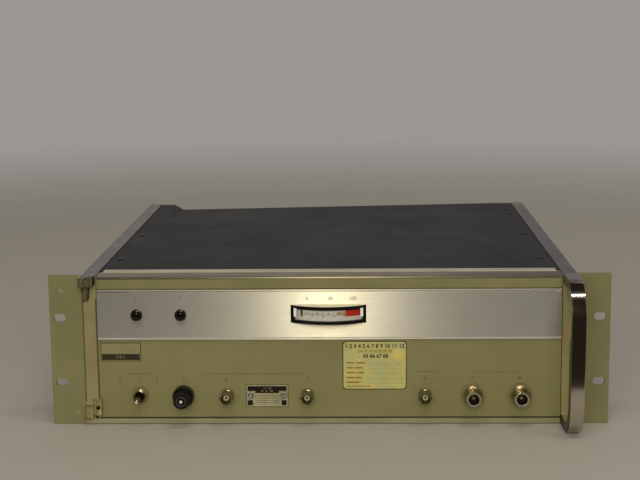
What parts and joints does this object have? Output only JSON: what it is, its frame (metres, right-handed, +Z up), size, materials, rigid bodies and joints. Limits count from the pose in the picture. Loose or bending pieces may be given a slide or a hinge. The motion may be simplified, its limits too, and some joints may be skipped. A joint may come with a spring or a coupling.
{
  "type": "rack microwave amplifier",
  "caption": "Rack cabinet microwave amplifier with side frames, a front handle, a brushed band with a curved meter, lamps, a toggle, a fuse and coaxial jacks.",
  "frame": {"origin": "middle of the bounding box, at the bottom of the side frames", "axes": "+X to the right along the rack width, +Y to the back, +Z up"},
  "size_m": [0.4826, 0.467, 0.1326],
  "materials": {
    "frame_aluminium": "satin cast and machined aluminium, worn",
    "panel_paint": "olive green enamel, slightly glossy",
    "brushed_band": "horizontally brushed, clear anodised",
    "cover_paint": "dark grey textured enamel",
    "sheet_metal": "chromate treated sheet",
    "bright_steel": "plated",
    "nickel": "nickel plate, dulled",
    "plated_brass": "worn silver plate over brass",
    "jack_dielectric": "white fluoropolymer",
    "black_plastic": "black phenolic",
    "lamp_amber": "dark amber lens, unlit",
    "lamp_dark": "dark lens, unlit",
    "clear_window": "clear acrylic",
    "fuse_glass": "glass body with metal ends",
    "scale_white": "off-white scale with a red zone",
    "plate_metal": "etched plate, bare of words",
    "tag_metal": "printed foil tag, bare of words",
    "label_paper": "yellowed paper label, bare of words",
    "core_steel": "varnished laminations",
    "coil_wrap": "varnished paper wrap",
    "board_laminate": "etched laminate",
    "tube_nickel": "brushed nickel capsule",
    "fan_casting": "black painted casting",
    "slider_plastic": "moulded"
  },
  "bodies": {
    "cabinet": {"left_side_frame": "frame_aluminium", "right_side_frame": "frame_aluminium", "top_front_rail": "frame_aluminium", "bottom_front_rail": "frame_aluminium", "front_panel": "panel_paint", "left_rack_ear": "panel_paint", "right_rack_ear": "panel_paint", "filler_strip": "panel_paint", "trim_band": "brushed_band", "top_cover": "cover_paint", "bottom_cover": "cover_paint", "left_side_cover": "cover_paint", "right_side_cover": "cover_paint", "rear_panel": "sheet_metal", "chassis_deck": "sheet_metal", "tube_cradles": "sheet_metal", "tube_cooler": "sheet_metal", "helix_supply_can": "sheet_metal", "filter_capacitors": "sheet_metal", "cabinet_screws": "bright_steel", "panel_nuts": "bright_steel", "toggle_nut": "bright_steel", "fan_guard": "bright_steel", "voltage_selector": "bright_steel", "meter_movement": "bright_steel", "toggle_body": "nickel", "bnc_jack_left": "plated_brass", "bnc_jack_middle": "plated_brass", "bnc_jack_right": "plated_brass", "n_jack_input": "plated_brass", "n_jack_output": "plated_brass", "jack_contacts": "plated_brass", "rf_input_line": "plated_brass", "rf_output_line": "plated_brass", "jack_insulators": "jack_dielectric", "fuse_holder": "black_plastic", "standby_lamp_holder": "black_plastic", "power_lamp_holder": "black_plastic", "meter_housing": "black_plastic", "meter_mask": "black_plastic", "power_inlet": "black_plastic", "standby_lamp_lens": "lamp_amber", "power_lamp_lens": "lamp_dark", "meter_window": "clear_window", "meter_scale": "scale_white", "data_plate": "plate_metal", "property_tag": "tag_metal", "paper_label": "label_paper", "transformer_core": "core_steel", "transformer_coil": "coil_wrap", "regulator_board": "board_laminate", "tube_barrel": "tube_nickel", "fan_housing": "fan_casting"},
    "toggle": {"toggle_lever": "nickel"},
    "fuse": {"fuse_cartridge": "fuse_glass"},
    "fuse_knob": {"fuse_cap": "black_plastic"},
    "pointer": {"meter_pointer": "black_plastic"},
    "fan": {"fan_rotor": "black_plastic"},
    "selector": {"selector_slider": "slider_plastic"}
  },
  "joints": [
    {"name": "toggle_tilt", "type": "hinge", "parent": "cabinet", "child": "toggle", "pos_m": [-0.1646, -0.1842, 0.0258], "axis": [0, 0, 1], "range_deg": [-13, 13]},
    {"name": "fuse_pull", "type": "slide", "parent": "cabinet", "child": "fuse", "axis": [0, -1, 0], "range_m": [0, 0.05]},
    {"name": "fuse_turn", "type": "hinge", "parent": "fuse", "child": "fuse_knob", "pos_m": [-0.1266, -0.1947, 0.0258], "axis": [0, -1, 0], "range_deg": [0, 60]},
    {"name": "pointer_swing", "type": "hinge", "parent": "cabinet", "child": "pointer", "pos_m": [0, -0.1377, 0.0978], "axis": [0, 0, 1], "range_deg": [0, 52], "stiffness_Nm_per_rad": 0.00001},
    {"name": "fan_spin", "type": "hinge", "parent": "cabinet", "child": "fan", "pos_m": [0.1445, 0.1995, 0.066], "axis": [0, 1, 0], "continuous": true},
    {"name": "selector_slide", "type": "slide", "parent": "cabinet", "child": "selector", "axis": [1, 0, 0], "range_m": [0, 0.006]}
  ]
}
